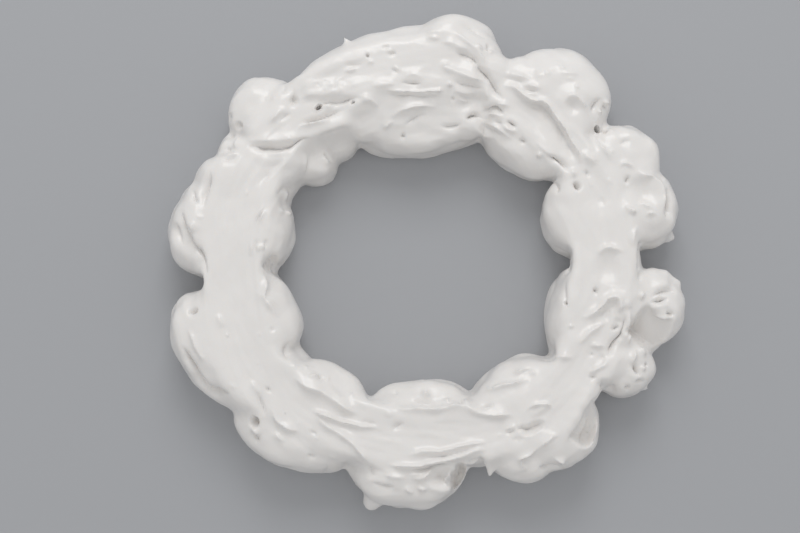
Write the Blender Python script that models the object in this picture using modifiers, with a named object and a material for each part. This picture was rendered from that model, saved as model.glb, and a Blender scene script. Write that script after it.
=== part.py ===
"""A soft meringue wreath, spooned and spread in a ring.

Two rows of dollops stand side by side around a filled core, and broad spatula
strokes run over their tops and join them.  Everything is one piece of foam.

Places on the wreath are given the way a baker would point at them: a bearing in
degrees, clockwise from the back (+Y), and a distance in millimetres from the
middle of the ring.  The foam is laid and shaped in millimetres, and the finished
solid is in metres, standing on z = 0.
"""
import math
from collections import namedtuple

import bmesh
import bpy
import numpy as np
from mathutils import Matrix

NAME = "meringue_ring"
MM = 0.001

# ---- driving dimensions, millimetres -------------------------------------------
WAIST = 0.37            # a dollop is widest at this share of its height
OUTER_ROW = 109.0       # distance of the outer row of dollops from the middle
INNER_ROW = 85.0        # distance of the inner row
CORE_DISTANCE = 92.0    # middle line of the filled core
CORE_HALF = 15.0        # half width of the core
CORE_HIGH = 30.0        # top of the core
CORE_THICK = 18.0       # half thickness of the core, which the tray cuts off below
BED_SHARE = 0.85        # width of the foam laid for a stroke, as a share of the stroke
BED_HALF = 11.0         # half thickness of that foam
GRID = 2.0              # cell of the grid on which the foam is joined
FACES = 9400            # triangles left before the foot is cut
TRAY = (0.4, 0.4, 0.06)     # block that cuts the foot flat, metres

# ---- dollops ---------------------------------------------------------------------
# bearing of its middle; out is how far that lies beyond its row; long and wide are
# half sizes, turn is from the ring's own direction, all seen from above; high is the
# height of the top
Dollop = namedtuple("Dollop", "name bearing out long wide turn high")
OUTER_DOLLOPS = (
    Dollop("back", 342, -11, 47, 22, 6, 40),
    Dollop("back_tip", 6, -5, 27, 23, 12, 41),
    Dollop("back_right_side", 26, -8, 20, 20, 0, 38),
    Dollop("back_right", 38, -1, 27, 25, 0, 40),
    Dollop("right_upper", 63, 0, 21, 20, 0, 37),
    Dollop("right_round", 75, 1, 21, 20, 0, 37),
    Dollop("right_curl", 102, 4, 21, 19, 0, 36),
    Dollop("right_small", 118, 2, 16, 16, 0, 33),
    Dollop("right_small_tip", 118, 18, 5, 6, 0, 17),
    Dollop("front_right", 145, -6, 21, 22, 0, 38),
    Dollop("front_right_side", 153, -6, 19, 19, 0, 36),
    Dollop("front", 186, -7, 30, 23, 3, 37),
    Dollop("front_left", 218, -1, 33, 20, 22, 36),
    Dollop("left_lower", 246, 2, 37, 23, 20, 38),
    Dollop("left_upper", 279, 3, 26, 22, 6, 38),
    Dollop("left_shoulder", 291, 1, 17, 17, 0, 37),
    Dollop("left_knob", 299, 3, 12, 12, 0, 30),
    Dollop("back_left", 312, 4, 20, 20, 0, 35),
)
INNER_DOLLOPS = (
    Dollop("back", 357, -10, 35, 20, 4, 33),
    Dollop("back_right", 38, -3, 27, 19, 4, 36),
    Dollop("right_upper", 73, -4, 22, 20, 0, 38),
    Dollop("right_lower", 110, 0, 29, 21, 18, 38),
    Dollop("front_right", 147, -2, 28, 21, 0, 37),
    Dollop("front", 182, -6, 30, 20, 0, 35),
    Dollop("front_left", 217, 4, 28, 20, 2, 36),
    Dollop("left_lower", 254, 4, 27, 18, 14, 38),
    Dollop("left_upper", 281, 2, 20, 17, 12, 38),
    Dollop("back_left", 304, 9, 18, 17, 0, 37),
    Dollop("back_left_dab", 312, -6, 12, 12, 0, 27),
    Dollop("back_left_crumb", 324, -9, 8, 7, 0, 22),
)

# ---- spatula strokes --------------------------------------------------------------
# path: (bearing, distance) points; half: half width; level: height of the spread
# surface; tilt: how much higher it stands at its outer side than at its inner side;
# dish: how far its middle is hollowed
Stroke = namedtuple("Stroke", "name path half level tilt dish")
STROKES = (
    Stroke("left", ((305, 97), (288, 99), (270, 98), (253, 100), (237, 102), (221, 98)),
           18, 39, 0, 1.5),
    Stroke("front_left", ((236, 99), (220, 95), (204, 94), (189, 92)), 14, 38, 0, 1.5),
    Stroke("front", ((213, 91), (191, 88), (169, 88), (151, 92)), 15, 38, 0, 1.5),
    Stroke("front_right", ((113, 92), (127, 93), (141, 95), (154, 97)), 17, 39, 0, 1.0),
    Stroke("right", ((68, 91), (86, 88), (104, 88), (119, 91)), 17, 39, 0, 1.5),
    Stroke("back_right", ((23, 91), (42, 90), (60, 89), (77, 90)), 13, 38, 0, 2.0),
    Stroke("back", ((318, 104), (338, 97), (358, 97), (17, 98)), 16, 40, 0, 0.5),
    Stroke("back_slope", ((336, 78), (346, 75), (358, 74), (14, 76)), 13, 34, 11, 0.0),
    Stroke("back_left", ((335, 90), (316, 97), (301, 102)), 15, 38, 0, 1.0),
)

# ---- ridges and folds --------------------------------------------------------------
# rise is the height of the ridge, or the depth of the fold where it is negative;
# outer and inner are the half widths of its two slopes
Ridge = namedtuple("Ridge", "name path rise outer inner")
RIDGES = (
    Ridge("front_upper_edge", ((191, 76), (179, 74), (168, 76), (160, 81), (151, 88)), 3, 5, 3),
    Ridge("front_left_upper", ((231, 88), (224, 86), (212, 84), (203, 85)), 3, 4, 3),
    Ridge("front_left_middle", ((217, 94), (207, 91), (198, 88)), 2, 3, 3),
    Ridge("front_left_lower", ((216, 96), (207, 100), (198, 105)), 3, 4, 3),
    Ridge("front_low_inner", ((186, 96), (175, 93), (161, 95)), 2, 3, 3),
    Ridge("front_low_outer", ((190, 102), (176, 98), (162, 97)), 2, 3, 3),
    Ridge("right_hook", ((113, 78), (107, 86), (102, 91), (101, 96), (106, 98)), 3, 3, 3),
    Ridge("right_slope", ((122, 85), (110, 94)), 3, 4, 3),
    Ridge("right_arc", ((88, 84), (87, 87), (87, 92), (89, 95)), 2, 3, 3),
    Ridge("back_right_main", ((24, 94), (39, 97), (52, 90), (61, 88)), 3, 4, 3),
    Ridge("back_right_lip", ((27, 83), (38, 79), (53, 80), (62, 82)), 3, 4, 3),
    Ridge("back_right_trough", ((44, 105), (53, 100), (62, 97)), -3, 5, 5),
    Ridge("back_long", ((342, 89), (353, 86), (4, 85), (18, 86)), 2, 4, 3),
    Ridge("back_high", ((0, 110), (7, 110), (16, 103)), 2, 3, 3),
    Ridge("back_gouge", ((3, 107), (13, 102), (19, 95)), -3, 4, 4),
    Ridge("back_low", ((1, 100), (9, 94), (18, 92)), 2, 3, 3),
    Ridge("back_knot", ((14, 74), (17, 78), (22, 83)), -3, 3, 3),
    Ridge("back_left_pad", ((323, 108), (331, 101), (340, 94)), 2, 7, 6),
    Ridge("back_left_fold", ((303, 108), (306, 98), (311, 89), (317, 83)), -5, 3, 5),
    Ridge("back_left_step", ((322, 117), (319, 109), (315, 102)), -3, 3, 4),
    Ridge("left_edge_upper", ((294, 122), (289, 120), (283, 116)), -3, 4, 3),
    Ridge("left_edge_lower", ((277, 124), (272, 117), (265, 112)), -3, 4, 4),
    Ridge("left_ear", ((250, 131), (243, 128), (236, 119)), -2, 3, 3),
)

# ---- round hollows and knobs -------------------------------------------------------
# depth is how far the bowl goes down, or how far a knob stands up where it is
# negative; rim is the height of the edge around it
Scoop = namedtuple("Scoop", "name bearing distance radius depth rim")
SCOOPS = (
    Scoop("right_dish", 72, 112, 13, 4, 1.5),
    Scoop("right_arc_dish", 92, 90, 11, 2, 0.0),
    Scoop("front_hollow", 176, 111, 11, 5, 1.0),
    Scoop("front_right_hollow", 151, 96, 7, 3, 0.0),
    Scoop("front_right_knob", 145, 91, 8, -3, 0.0),
    Scoop("left_dish", 257, 97, 13, 1.5, 0.0),
)


def place(bearing, distance):
    """X and Y in millimetres of a bearing and a distance."""
    angle = math.radians(bearing)
    return distance * math.sin(angle), distance * math.cos(angle)


def smooth_path(path, steps=8):
    """Points of a smooth curve through a path's own points."""
    points = np.array([place(bearing, distance) for bearing, distance in path])
    first = 2 * points[0] - points[1]
    last = 2 * points[-1] - points[-2]
    points = np.vstack((first, points, last))
    curve = []
    for a, b, c, d in zip(points, points[1:], points[2:], points[3:]):
        for step in range(steps):
            t = step / steps
            curve.append(0.5 * (2 * b + (c - a) * t + (2 * a - 5 * b + 4 * c - d) * t ** 2
                                + (3 * b - a - 3 * c + d) * t ** 3))
    curve.append(points[-2])
    return np.array(curve)


# ---- laying the foam ---------------------------------------------------------------

def add_lump(foam, x, y, z, turn, half_sizes, detail):
    """Add one ball squeezed to its half sizes."""
    spot = (Matrix.Translation((x, y, z)) @ Matrix.Rotation(turn, 4, "Z")
            @ Matrix.Diagonal((*half_sizes, 1.0)))
    bmesh.ops.create_icosphere(foam, subdivisions=detail, radius=1.0, matrix=spot)


def add_dollop(foam, row, dollop):
    """Add one spooned dollop of a row, standing on the tray."""
    waist = dollop.high * WAIST
    x, y = place(dollop.bearing, row + dollop.out)
    turn = math.radians(dollop.turn - dollop.bearing)
    add_lump(foam, x, y, waist, turn, (dollop.long, dollop.wide, dollop.high - waist), 4)


def add_bed(foam, path, half, top, thick):
    """Add the foam under a stroke, as flat lumps that run into each other."""
    for x, y in smooth_path(path, steps=4):
        add_lump(foam, x, y, top - thick, 0.0, (half, half, thick), 3)


def lay_foam():
    """Lay the core, the dollops and the foam of the strokes."""
    foam = bmesh.new()
    core = [(bearing, CORE_DISTANCE) for bearing in range(0, 361, 30)]
    add_bed(foam, core, CORE_HALF, CORE_HIGH, CORE_THICK)
    for dollop in OUTER_DOLLOPS:
        add_dollop(foam, OUTER_ROW, dollop)
    for dollop in INNER_DOLLOPS:
        add_dollop(foam, INNER_ROW, dollop)
    for stroke in STROKES:
        add_bed(foam, stroke.path, stroke.half * BED_SHARE, stroke.level, BED_HALF)
    mesh = bpy.data.meshes.new(NAME)
    foam.to_mesh(mesh)
    foam.free()
    return mesh


# ---- shaping the skin ----------------------------------------------------------------

def fade(value, start, end):
    """1 up to start, 0 from end on, and a smooth slope between them."""
    t = np.clip((value - start) / (end - start), 0.0, 1.0)
    return 1.0 - t * t * (3.0 - 2.0 * t)


def follow(spots, curve):
    """Share of the way along a curve, and signed distance, outer side positive."""
    starts = curve[:-1]
    steps = curve[1:] - starts
    lengths = np.hypot(steps[:, 0], steps[:, 1])
    offset = spots[:, None, :2] - starts
    share = np.clip((offset * steps).sum(2) / lengths ** 2, 0.0, 1.0)
    gap = offset - share[..., None] * steps
    away = np.hypot(gap[..., 0], gap[..., 1])
    nearest = away.argmin(1)
    rows = np.arange(len(spots))
    run = np.concatenate(((0.0,), np.cumsum(lengths)))
    along = (run[nearest] + share[rows, nearest] * lengths[nearest]) / run[-1]
    foot = starts[nearest] + share[rows, nearest, None] * steps[nearest]
    outer = np.hypot(spots[:, 0], spots[:, 1]) >= np.hypot(foot[:, 0], foot[:, 1])
    return along, np.where(outer, 1.0, -1.0) * away[rows, nearest]


def near(spots, curve, reach):
    """Which points lie within reach of a curve's box."""
    low = curve.min(0) - reach
    high = curve.max(0) + reach
    return np.flatnonzero(((spots[:, :2] > low) & (spots[:, :2] < high)).all(1))


def spread(spots, upward, stroke):
    """Draw the spatula along its stroke and level the foam under it."""
    curve = smooth_path(stroke.path)
    rows = near(spots, curve, stroke.half * 1.5)
    along, side = follow(spots[rows], curve)
    across = np.abs(side) / stroke.half
    weight = fade(across, 0.75, 1.15) * fade(np.abs(along - 0.5), 0.38, 0.5) * upward[rows]
    slope = stroke.tilt / 2 * side / stroke.half
    target = stroke.level + slope - stroke.dish * fade(across, 0.0, 1.0)
    spots[rows, 2] += weight * (target - spots[rows, 2])


def raise_ridge(spots, upward, ridge):
    """Pull up a ridge, or press in a fold."""
    curve = smooth_path(ridge.path)
    rows = near(spots, curve, 2.5 * max(ridge.outer, ridge.inner))
    along, side = follow(spots[rows], curve)
    slope = np.where(side > 0.0, ridge.outer, ridge.inner)
    shape = np.exp(-(side / slope) ** 2) * fade(np.abs(along - 0.5), 0.25, 0.5)
    spots[rows, 2] += ridge.rise * shape * upward[rows]


def scoop_out(spots, upward, scoop):
    """Press a round hollow, or leave a knob."""
    x, y = place(scoop.bearing, scoop.distance)
    away = np.hypot(spots[:, 0] - x, spots[:, 1] - y) / scoop.radius
    rim = np.exp(-((away - 1.0) / 0.25) ** 2)
    spots[:, 2] += (scoop.rim * rim - scoop.depth * fade(away, 0.0, 1.0)) * upward


def shape_skin(mesh):
    """Shape the joined skin with the strokes, the ridges and the scoops."""
    spots = np.empty(len(mesh.vertices) * 3)
    facing = np.empty(len(mesh.vertices) * 3)
    mesh.vertices.foreach_get("co", spots)
    mesh.vertices.foreach_get("normal", facing)
    spots = spots.reshape(-1, 3)
    upward = 1.0 - fade(facing.reshape(-1, 3)[:, 2], 0.0, 0.5)
    for stroke in STROKES:
        spread(spots, upward, stroke)
    for ridge in RIDGES:
        raise_ridge(spots, upward, ridge)
    for scoop in SCOOPS:
        scoop_out(spots, upward, scoop)
    mesh.vertices.foreach_set("co", spots.ravel())
    return spots


# ---- finishing -------------------------------------------------------------------------

def join_skin(ring, relaxing):
    """Join everything in the object's mesh into one closed and relaxed skin."""
    remesh = ring.modifiers.new("join", "REMESH")
    remesh.mode = "VOXEL"
    remesh.voxel_size = GRID
    smooth = ring.modifiers.new("relax", "SMOOTH")
    smooth.factor = 0.5
    smooth.iterations = relaxing
    seen = ring.evaluated_get(bpy.context.evaluated_depsgraph_get())
    ring.data = bpy.data.meshes.new_from_object(seen)
    ring.modifiers.clear()


def centre(mesh):
    """Scale the mesh to metres, with the middle of its outline over the origin."""
    spots = np.empty(len(mesh.vertices) * 3)
    mesh.vertices.foreach_get("co", spots)
    spots = spots.reshape(-1, 3)
    middle = (spots.min(0) + spots.max(0)) / 2
    mesh.transform(Matrix.Scale(MM, 4) @ Matrix.Translation((-middle[0], -middle[1], 0.0)))


def thin_skin(ring):
    """Keep large faces where the skin is smooth and small ones on its ridges."""
    thin = ring.modifiers.new("thin", "DECIMATE")
    thin.ratio = FACES / (2 * len(ring.data.polygons))


def cut_foot(ring, cutters):
    """Cut the foot flat where it stands on the tray."""
    bpy.ops.mesh.primitive_cube_add(size=1.0)
    tray = bpy.context.object
    tray.name = "tray_cut"
    tray.scale = TRAY
    tray.location.z = -TRAY[2] / 2
    tray.hide_render = True
    tray.display_type = "WIRE"
    for home in list(tray.users_collection):
        home.objects.unlink(tray)
    cutters.objects.link(tray)
    cut = ring.modifiers.new("foot", "BOOLEAN")
    cut.operation = "DIFFERENCE"
    cut.object = tray


def meringue():
    """Soft white foam with a satin shine."""
    material = bpy.data.materials.new("meringue")
    material.use_nodes = True
    shader = material.node_tree.nodes["Principled BSDF"]
    shader.inputs["Base Color"].default_value = (0.86, 0.84, 0.82, 1.0)
    shader.inputs["Roughness"].default_value = 0.3
    shader.inputs["Metallic"].default_value = 0.0
    return material


def add_collection(name):
    collection = bpy.data.collections.new(name)
    bpy.context.scene.collection.children.link(collection)
    return collection


def main():
    for old in list(bpy.data.objects):
        bpy.data.objects.remove(old)
    wreath = add_collection("meringue_wreath")
    cutters = add_collection("cutters")
    ring = bpy.data.objects.new(NAME, lay_foam())
    wreath.objects.link(ring)
    join_skin(ring, 3)
    shape_skin(ring.data)
    join_skin(ring, 1)
    centre(ring.data)
    ring.data.materials.append(meringue())
    ring.data.shade_smooth()
    thin_skin(ring)
    cut_foot(ring, cutters)


main()
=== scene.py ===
"""A glossy unbaked meringue wreath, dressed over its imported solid.

Dollops of foam stand in a ring and broad spatula strokes join them.  The foam is laid
as lumps, joined into one skin, and then worked with the strokes, ridges, folds and
hollows that a spatula and a spoon leave.

Places on the wreath are a bearing in degrees, clockwise from the back (+Y), and a
distance in millimetres from the middle of the ring.  The foam is worked in millimetres
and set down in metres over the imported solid.
"""

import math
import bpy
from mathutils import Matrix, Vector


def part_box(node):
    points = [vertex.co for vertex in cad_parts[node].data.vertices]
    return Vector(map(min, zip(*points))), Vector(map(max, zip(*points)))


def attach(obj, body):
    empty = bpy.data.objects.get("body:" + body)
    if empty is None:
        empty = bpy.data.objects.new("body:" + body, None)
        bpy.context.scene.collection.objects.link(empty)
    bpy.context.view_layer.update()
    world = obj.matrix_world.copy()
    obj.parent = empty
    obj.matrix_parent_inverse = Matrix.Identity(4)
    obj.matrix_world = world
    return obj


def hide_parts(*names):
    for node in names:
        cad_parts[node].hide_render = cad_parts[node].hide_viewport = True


bl_info = {
    "name": "Meringue Wreath",
    "version": (1, 0, 0),
    "blender": (4, 5, 0),
    "location": "3D View > Sidebar > Meringue",
    "description": "Builds a glossy meringue wreath and a plain studio around it",
    "category": "Object",
}

from collections import namedtuple

import bmesh
import bpy
import numpy as np
from bpy.props import FloatProperty, FloatVectorProperty, IntProperty, PointerProperty
from mathutils import Matrix, Vector, noise

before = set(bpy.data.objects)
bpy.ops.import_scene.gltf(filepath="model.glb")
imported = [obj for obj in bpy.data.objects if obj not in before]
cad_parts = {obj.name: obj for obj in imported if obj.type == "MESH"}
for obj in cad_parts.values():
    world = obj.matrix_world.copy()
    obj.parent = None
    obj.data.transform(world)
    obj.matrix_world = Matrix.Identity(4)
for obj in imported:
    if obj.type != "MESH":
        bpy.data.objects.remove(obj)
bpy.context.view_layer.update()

NODE = "meringue_ring"
MM = 0.001

# ---- the lumps of foam, millimetres ------------------------------------------------
WAIST = 0.37            # a dollop is widest at this share of its height
DOLLOP_SQUARE = 3.0     # 2 is a plain ball; more is flatter on top and steeper at the sides
DOLLOP_UNEVEN = 0.07    # how far a dollop strays from a plain ball, as a share of its size
DOLLOP_SWAYS = 1.3      # soft swells over a dollop, for each of its half sizes
DOLLOP_FOLDS = 1.8      # creases over a dollop, for each of its half sizes
DOLLOP_CREASE = 1.5     # weight of the creases against the swells
DOLLOP_EVEN = 0.4       # taken off again, so that a dollop keeps its size
OUTER_ROW = 109.0       # distance of the outer row of dollops from the middle
INNER_ROW = 85.0        # distance of the inner row
CORE_DISTANCE = 92.0    # middle line of the filled core
CORE_HALF = 15.0        # half width of the core
CORE_HIGH = 30.0        # top of the core
CORE_THICK = 18.0       # half thickness of the core, which the tray cuts off below
BED_SHARE = 0.85        # width of the foam laid for a stroke, as a share of the stroke
BED_HALF = 11.0         # half thickness of that foam
TIP_HOLLOW = 0.6        # below 1, a tip narrows faster near its foot
DOLLOP_DETAIL = 5       # times a dollop's ball is divided
BED_DETAIL = 3          # the same for the balls of a stroke's foam
TIP_DETAIL = 2          # the same for the beads of a tip
ROUGH_GRID = 1.6        # cell of the grid on which the lumps are joined
ROUGH_RELAXING = 4      # times the joined lumps are smoothed
FINE_RELAXING = 1       # times the levelled skin is smoothed
FEWEST_FACES = 20000    # with fewer, the skin has come apart

# ---- how the skin is worked, millimetres --------------------------------------------
WANDER = 0.7            # how far the hand strays from a path
WANDER_WIDE = 9.0       # over this length
UNDERSIDE = -0.05       # facing up by less than this, the skin is out of the blade's reach
TOPSIDE = 0.35          # facing up by more than this, it is in full reach
STROKE_FLAT = 0.6       # share of a stroke's half width that is laid fully level
STROKE_EDGE = 1.25      # where its levelling ends
STROKE_END = 0.15       # share of its length over which it sets in and lets go
STROKE_REACH = 1.5      # a stroke is felt within this many times its half width
STREAK_STRETCH = 0.02   # width of the streaks in a stroke, as a share of their length
STREAK_WIDE = 2.4       # width of the wider streaks
STREAK_FINE = 1.1       # width of the finer ones
CREST = 1.1             # a ridge's crest: 2 is round, 1 is a sharp edge
RIDGE_REACH = 3.0       # a ridge is felt within this many times its wider slope
RIDGE_END = 9.0         # length over which a ridge runs out
RIDGE_END_SHARE = 0.45  # the same, at most this share of its length
RIDGE_UNEVEN = 0.45     # how unevenly high it is along its way, as a share of its height
RIDGE_UNEVEN_WIDE = 5.0     # over this length
LONG = 25.0             # length at which a ridge counts as long
LONG_GAIN = 0.35        # how much higher a long ridge stands than its table says
OVAL_REACH = 1.8        # an oval mark is felt within this many times its longer half size
RIM_THICK = 0.25        # thickness of a hollow's rim, as a share of the hollow's size
KNOB_SHARE = 0.3        # how far knobs stand up, as a share of their table's heights
BUBBLE = 1.3            # size of the bubbles in a foamy patch
BUBBLE_SHARE = 0.6      # how far the bubbles stand up, as a share of their table's heights
FOLD_WIDE = 12.0        # width of the low folds that run around the ring
FOLD_STRETCH = 0.3      # the same folds' width, as a share of their length
FOLD_FINE = 0.45        # width of the finer folds on them, as a share of theirs
FOLD_SIDES = 0.35       # share of their height that the folds keep on the walls
CEILING = 41.0          # height from which the highest ridges are held down
CEILING_GIVE = 0.4      # share of their height above it that they keep

# soft waves over the whole skin
Wave = namedtuple("Wave", "high wide seed")
WAVES = (Wave(0.8, 20.0, 6.0), Wave(0.3, 9.0, 9.0), Wave(0.08, 3.5, 2.0), Wave(0.03, 1.6, 8.0))

# ---- dollops ---------------------------------------------------------------------
# bearing of its middle; out is how far that lies beyond its row; long and wide are
# half sizes, turn is from the ring's own direction, all seen from above; high is the
# height of the top
Dollop = namedtuple("Dollop", "name bearing out long wide turn high")
OUTER_DOLLOPS = (
    Dollop("back", 342, -11, 47, 22, 6, 40),
    Dollop("back_tip", 6, -5, 27, 23, 12, 41),
    Dollop("back_right_side", 27, -9, 17, 17, 0, 37),
    Dollop("back_right", 38, -1, 27, 25, 0, 39),
    Dollop("right_upper", 63, 0, 21, 20, 0, 37),
    Dollop("right_round", 75, 1, 21, 20, 0, 36),
    Dollop("right_curl", 102, 4, 21, 19, 0, 35),
    Dollop("right_small", 118, 2, 16, 16, 0, 33),
    Dollop("front_right", 143, -5, 22, 22, 0, 38),
    Dollop("front_right_side", 153, -6, 19, 19, 0, 36),
    Dollop("front", 186, -7, 30, 23, 3, 37),
    Dollop("front_left", 218, -1, 33, 20, 22, 36),
    Dollop("left_lower", 246, 2, 37, 23, 20, 38),
    Dollop("left_upper", 279, 3, 26, 22, 6, 38),
    Dollop("left_shoulder", 291, 1, 17, 17, 0, 37),
    Dollop("left_knob", 299, 3, 12, 12, 0, 30),
    Dollop("back_left", 312, 4, 20, 20, 0, 35),
)
INNER_DOLLOPS = (
    Dollop("back", 357, -10, 35, 20, 4, 33),
    Dollop("back_right", 38, -3, 27, 19, 4, 36),
    Dollop("right_upper", 73, -4, 22, 20, 0, 38),
    Dollop("right_lower", 110, 0, 29, 21, 18, 38),
    Dollop("front_right", 147, -2, 28, 21, 0, 37),
    Dollop("front", 182, -6, 30, 20, 0, 35),
    Dollop("front_left", 217, 4, 28, 20, 2, 36),
    Dollop("left_lower", 254, 4, 27, 18, 14, 38),
    Dollop("left_upper", 281, 2, 20, 17, 12, 38),
    Dollop("back_left", 304, 9, 18, 17, 0, 37),
    Dollop("back_left_dab", 312, -6, 12, 12, 0, 27),
    Dollop("back_left_crumb", 324, -9, 8, 7, 0, 22),
)

# ---- pulled tips --------------------------------------------------------------------
# foot and tip are (bearing, distance, height); thick and thin are the half thicknesses
# there
Tip = namedtuple("Tip", "foot tip thick thin")
TIPS = (
    Tip((118, 116, 20), (120, 128, 10), 7.0, 1.6),
    Tip((163, 100, 33), (164.5, 111, 27), 4.5, 1.5),
    Tip((160, 103, 29), (161.5, 111.5, 25), 2.4, 1.2),
    Tip((302, 116, 14), (301, 122, 9), 4.0, 1.2),
    Tip((339, 112, 33), (339.5, 123.5, 31), 3.0, 1.0),
    Tip((191, 108, 20), (193.5, 124, 10), 14.0, 5.0),
    Tip((226, 114, 17), (228.5, 128, 10), 9.0, 2.6),
    Tip((81, 115, 17), (83.5, 124.5, 11), 9.0, 3.2),
    Tip((94, 118, 24), (95, 127, 24), 5.0, 1.4),
    Tip((73, 122, 22), (78, 126, 18), 3.5, 1.2),
)

# ---- spatula strokes --------------------------------------------------------------
# path: (bearing, distance) points; half: half width; level: height of the spread
# surface; tilt: how much higher it lies on the left of its way than on the right;
# dish: how far its middle is hollowed
Stroke = namedtuple("Stroke", "path half level tilt dish")
STROKES = (
    Stroke(((305, 97), (288, 99), (270, 98), (253, 100), (237, 102), (221, 98)), 18, 39, 0, 1.5),
    Stroke(((236, 99), (220, 95), (204, 94), (189, 92)), 14, 38, 0, 1.5),
    Stroke(((213, 91), (191, 88), (169, 88), (151, 92)), 15, 38, 0, 1.5),
    Stroke(((113, 92), (127, 93), (141, 95), (154, 97)), 17, 39, 0, 1.0),
    Stroke(((68, 90), (86, 87), (104, 87), (119, 90)), 20, 39, 0, 1.5),
    Stroke(((23, 91), (42, 90), (60, 89), (77, 90)), 13, 38, 0, 2.0),
    Stroke(((318, 104), (338, 99), (358, 99), (17, 99)), 16, 40, 0, 0.5),
    Stroke(((336, 79), (346, 75), (358, 74), (14, 76)), 14, 34, 11, 0.0),
    Stroke(((335, 90), (316, 97), (301, 102)), 15, 38, 0, 1.0),
)

# steep faces that the spatula left at the sides of dollops
FACETS = (
    Stroke(((105, 106), (107, 116), (108, 126)), 9, 26, 18, 0.0),
    Stroke(((124, 107), (133, 110), (142, 116)), 6, 28, -14, 0.0),
    Stroke(((169, 104), (171, 110), (172, 117)), 6, 22, 12, 0.0),
)

# a raised pad of foam at the back
PADS = (
    Stroke(((322.5, 108), (326, 104), (330, 100), (334, 96.5), (339, 92)), 5, 40, 0, 0.0),
)

# ---- ridges and folds --------------------------------------------------------------
# rise is the height of a ridge, or the depth of a fold where it is negative; left and
# right are the half widths of its slopes, seen along its path
Ridge = namedtuple("Ridge", "path rise left right")
BACK_LEFT_RIDGES = (
    Ridge(((302, 108), (305, 99), (307.5, 93), (310, 89.5), (313, 87.5), (316, 84)), -2.8, 1.0, 2.0),
    Ridge(((302.5, 111), (306, 101), (309.5, 94), (314, 89)), 1.2, 4.0, 1.2),
    Ridge(((303, 98), (305, 92.5), (309, 88.5)), 1.0, 1.5, 2.5),
    Ridge(((293, 95), (297, 91.5), (301, 90), (305, 88)), -1.6, 5.0, 4.0),
    Ridge(((292, 91), (297, 89), (302, 87), (306.5, 85)), 0.8, 2.0, 3.0),
    Ridge(((312, 82), (309.5, 80.5), (307.5, 79.5), (304, 77.5)), 1.3, 1.1, 2.0),
    Ridge(((315, 77), (314.5, 73.5), (313.5, 70)), 1.0, 1.3, 1.3),
    Ridge(((316, 77.5), (316, 73), (316, 70)), -1.5, 0.9, 0.9),
    Ridge(((307, 127), (305.5, 125), (304.5, 123)), -1.2, 1.8, 1.8),
    Ridge(((321, 117), (320, 114), (318, 111.5)), -0.8, 1.5, 1.5),
    Ridge(((322, 111), (320.5, 107.5), (319, 104.5), (318, 101)), -1.6, 1.3, 1.8),
    Ridge(((309.5, 106), (312.5, 105.5), (315, 105.5), (317, 103)), 1.6, 1.4, 2.0),
    Ridge(((312, 101.5), (314.5, 102), (317, 101)), -1.1, 0.9, 0.9),
    Ridge(((314, 92.5), (316.5, 92), (319, 90), (322, 87.5), (326, 85)), 2.0, 0.9, 1.6),
    Ridge(((315.5, 93.5), (319, 91.5), (322.5, 89.5), (327, 88), (331, 87)), -2.2, 1.0, 0.9),
    Ridge(((325, 94.5), (328.5, 91)), 1.5, 1.4, 1.4),
    Ridge(((324, 97.5), (327, 94), (330.5, 91), (334, 89.5), (338, 87)), -1.8, 0.9, 1.0),
    Ridge(((336, 89.5), (339.5, 85), (342, 80)), 1.6, 1.2, 1.6),
    Ridge(((302, 121.5), (303, 117)), -1.5, 1.1, 1.1),
    Ridge(((304, 114.5), (301, 113), (299.5, 112)), 1.8, 1.3, 1.3),
    Ridge(((296, 116), (296.5, 112), (298.5, 109.5)), -1.5, 1.0, 1.1),
    Ridge(((297, 115.5), (297.5, 112), (299.5, 110)), 1.2, 1.0, 1.0),
    Ridge(((299.5, 117), (299, 114)), -1.2, 0.9, 0.9),
)
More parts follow.
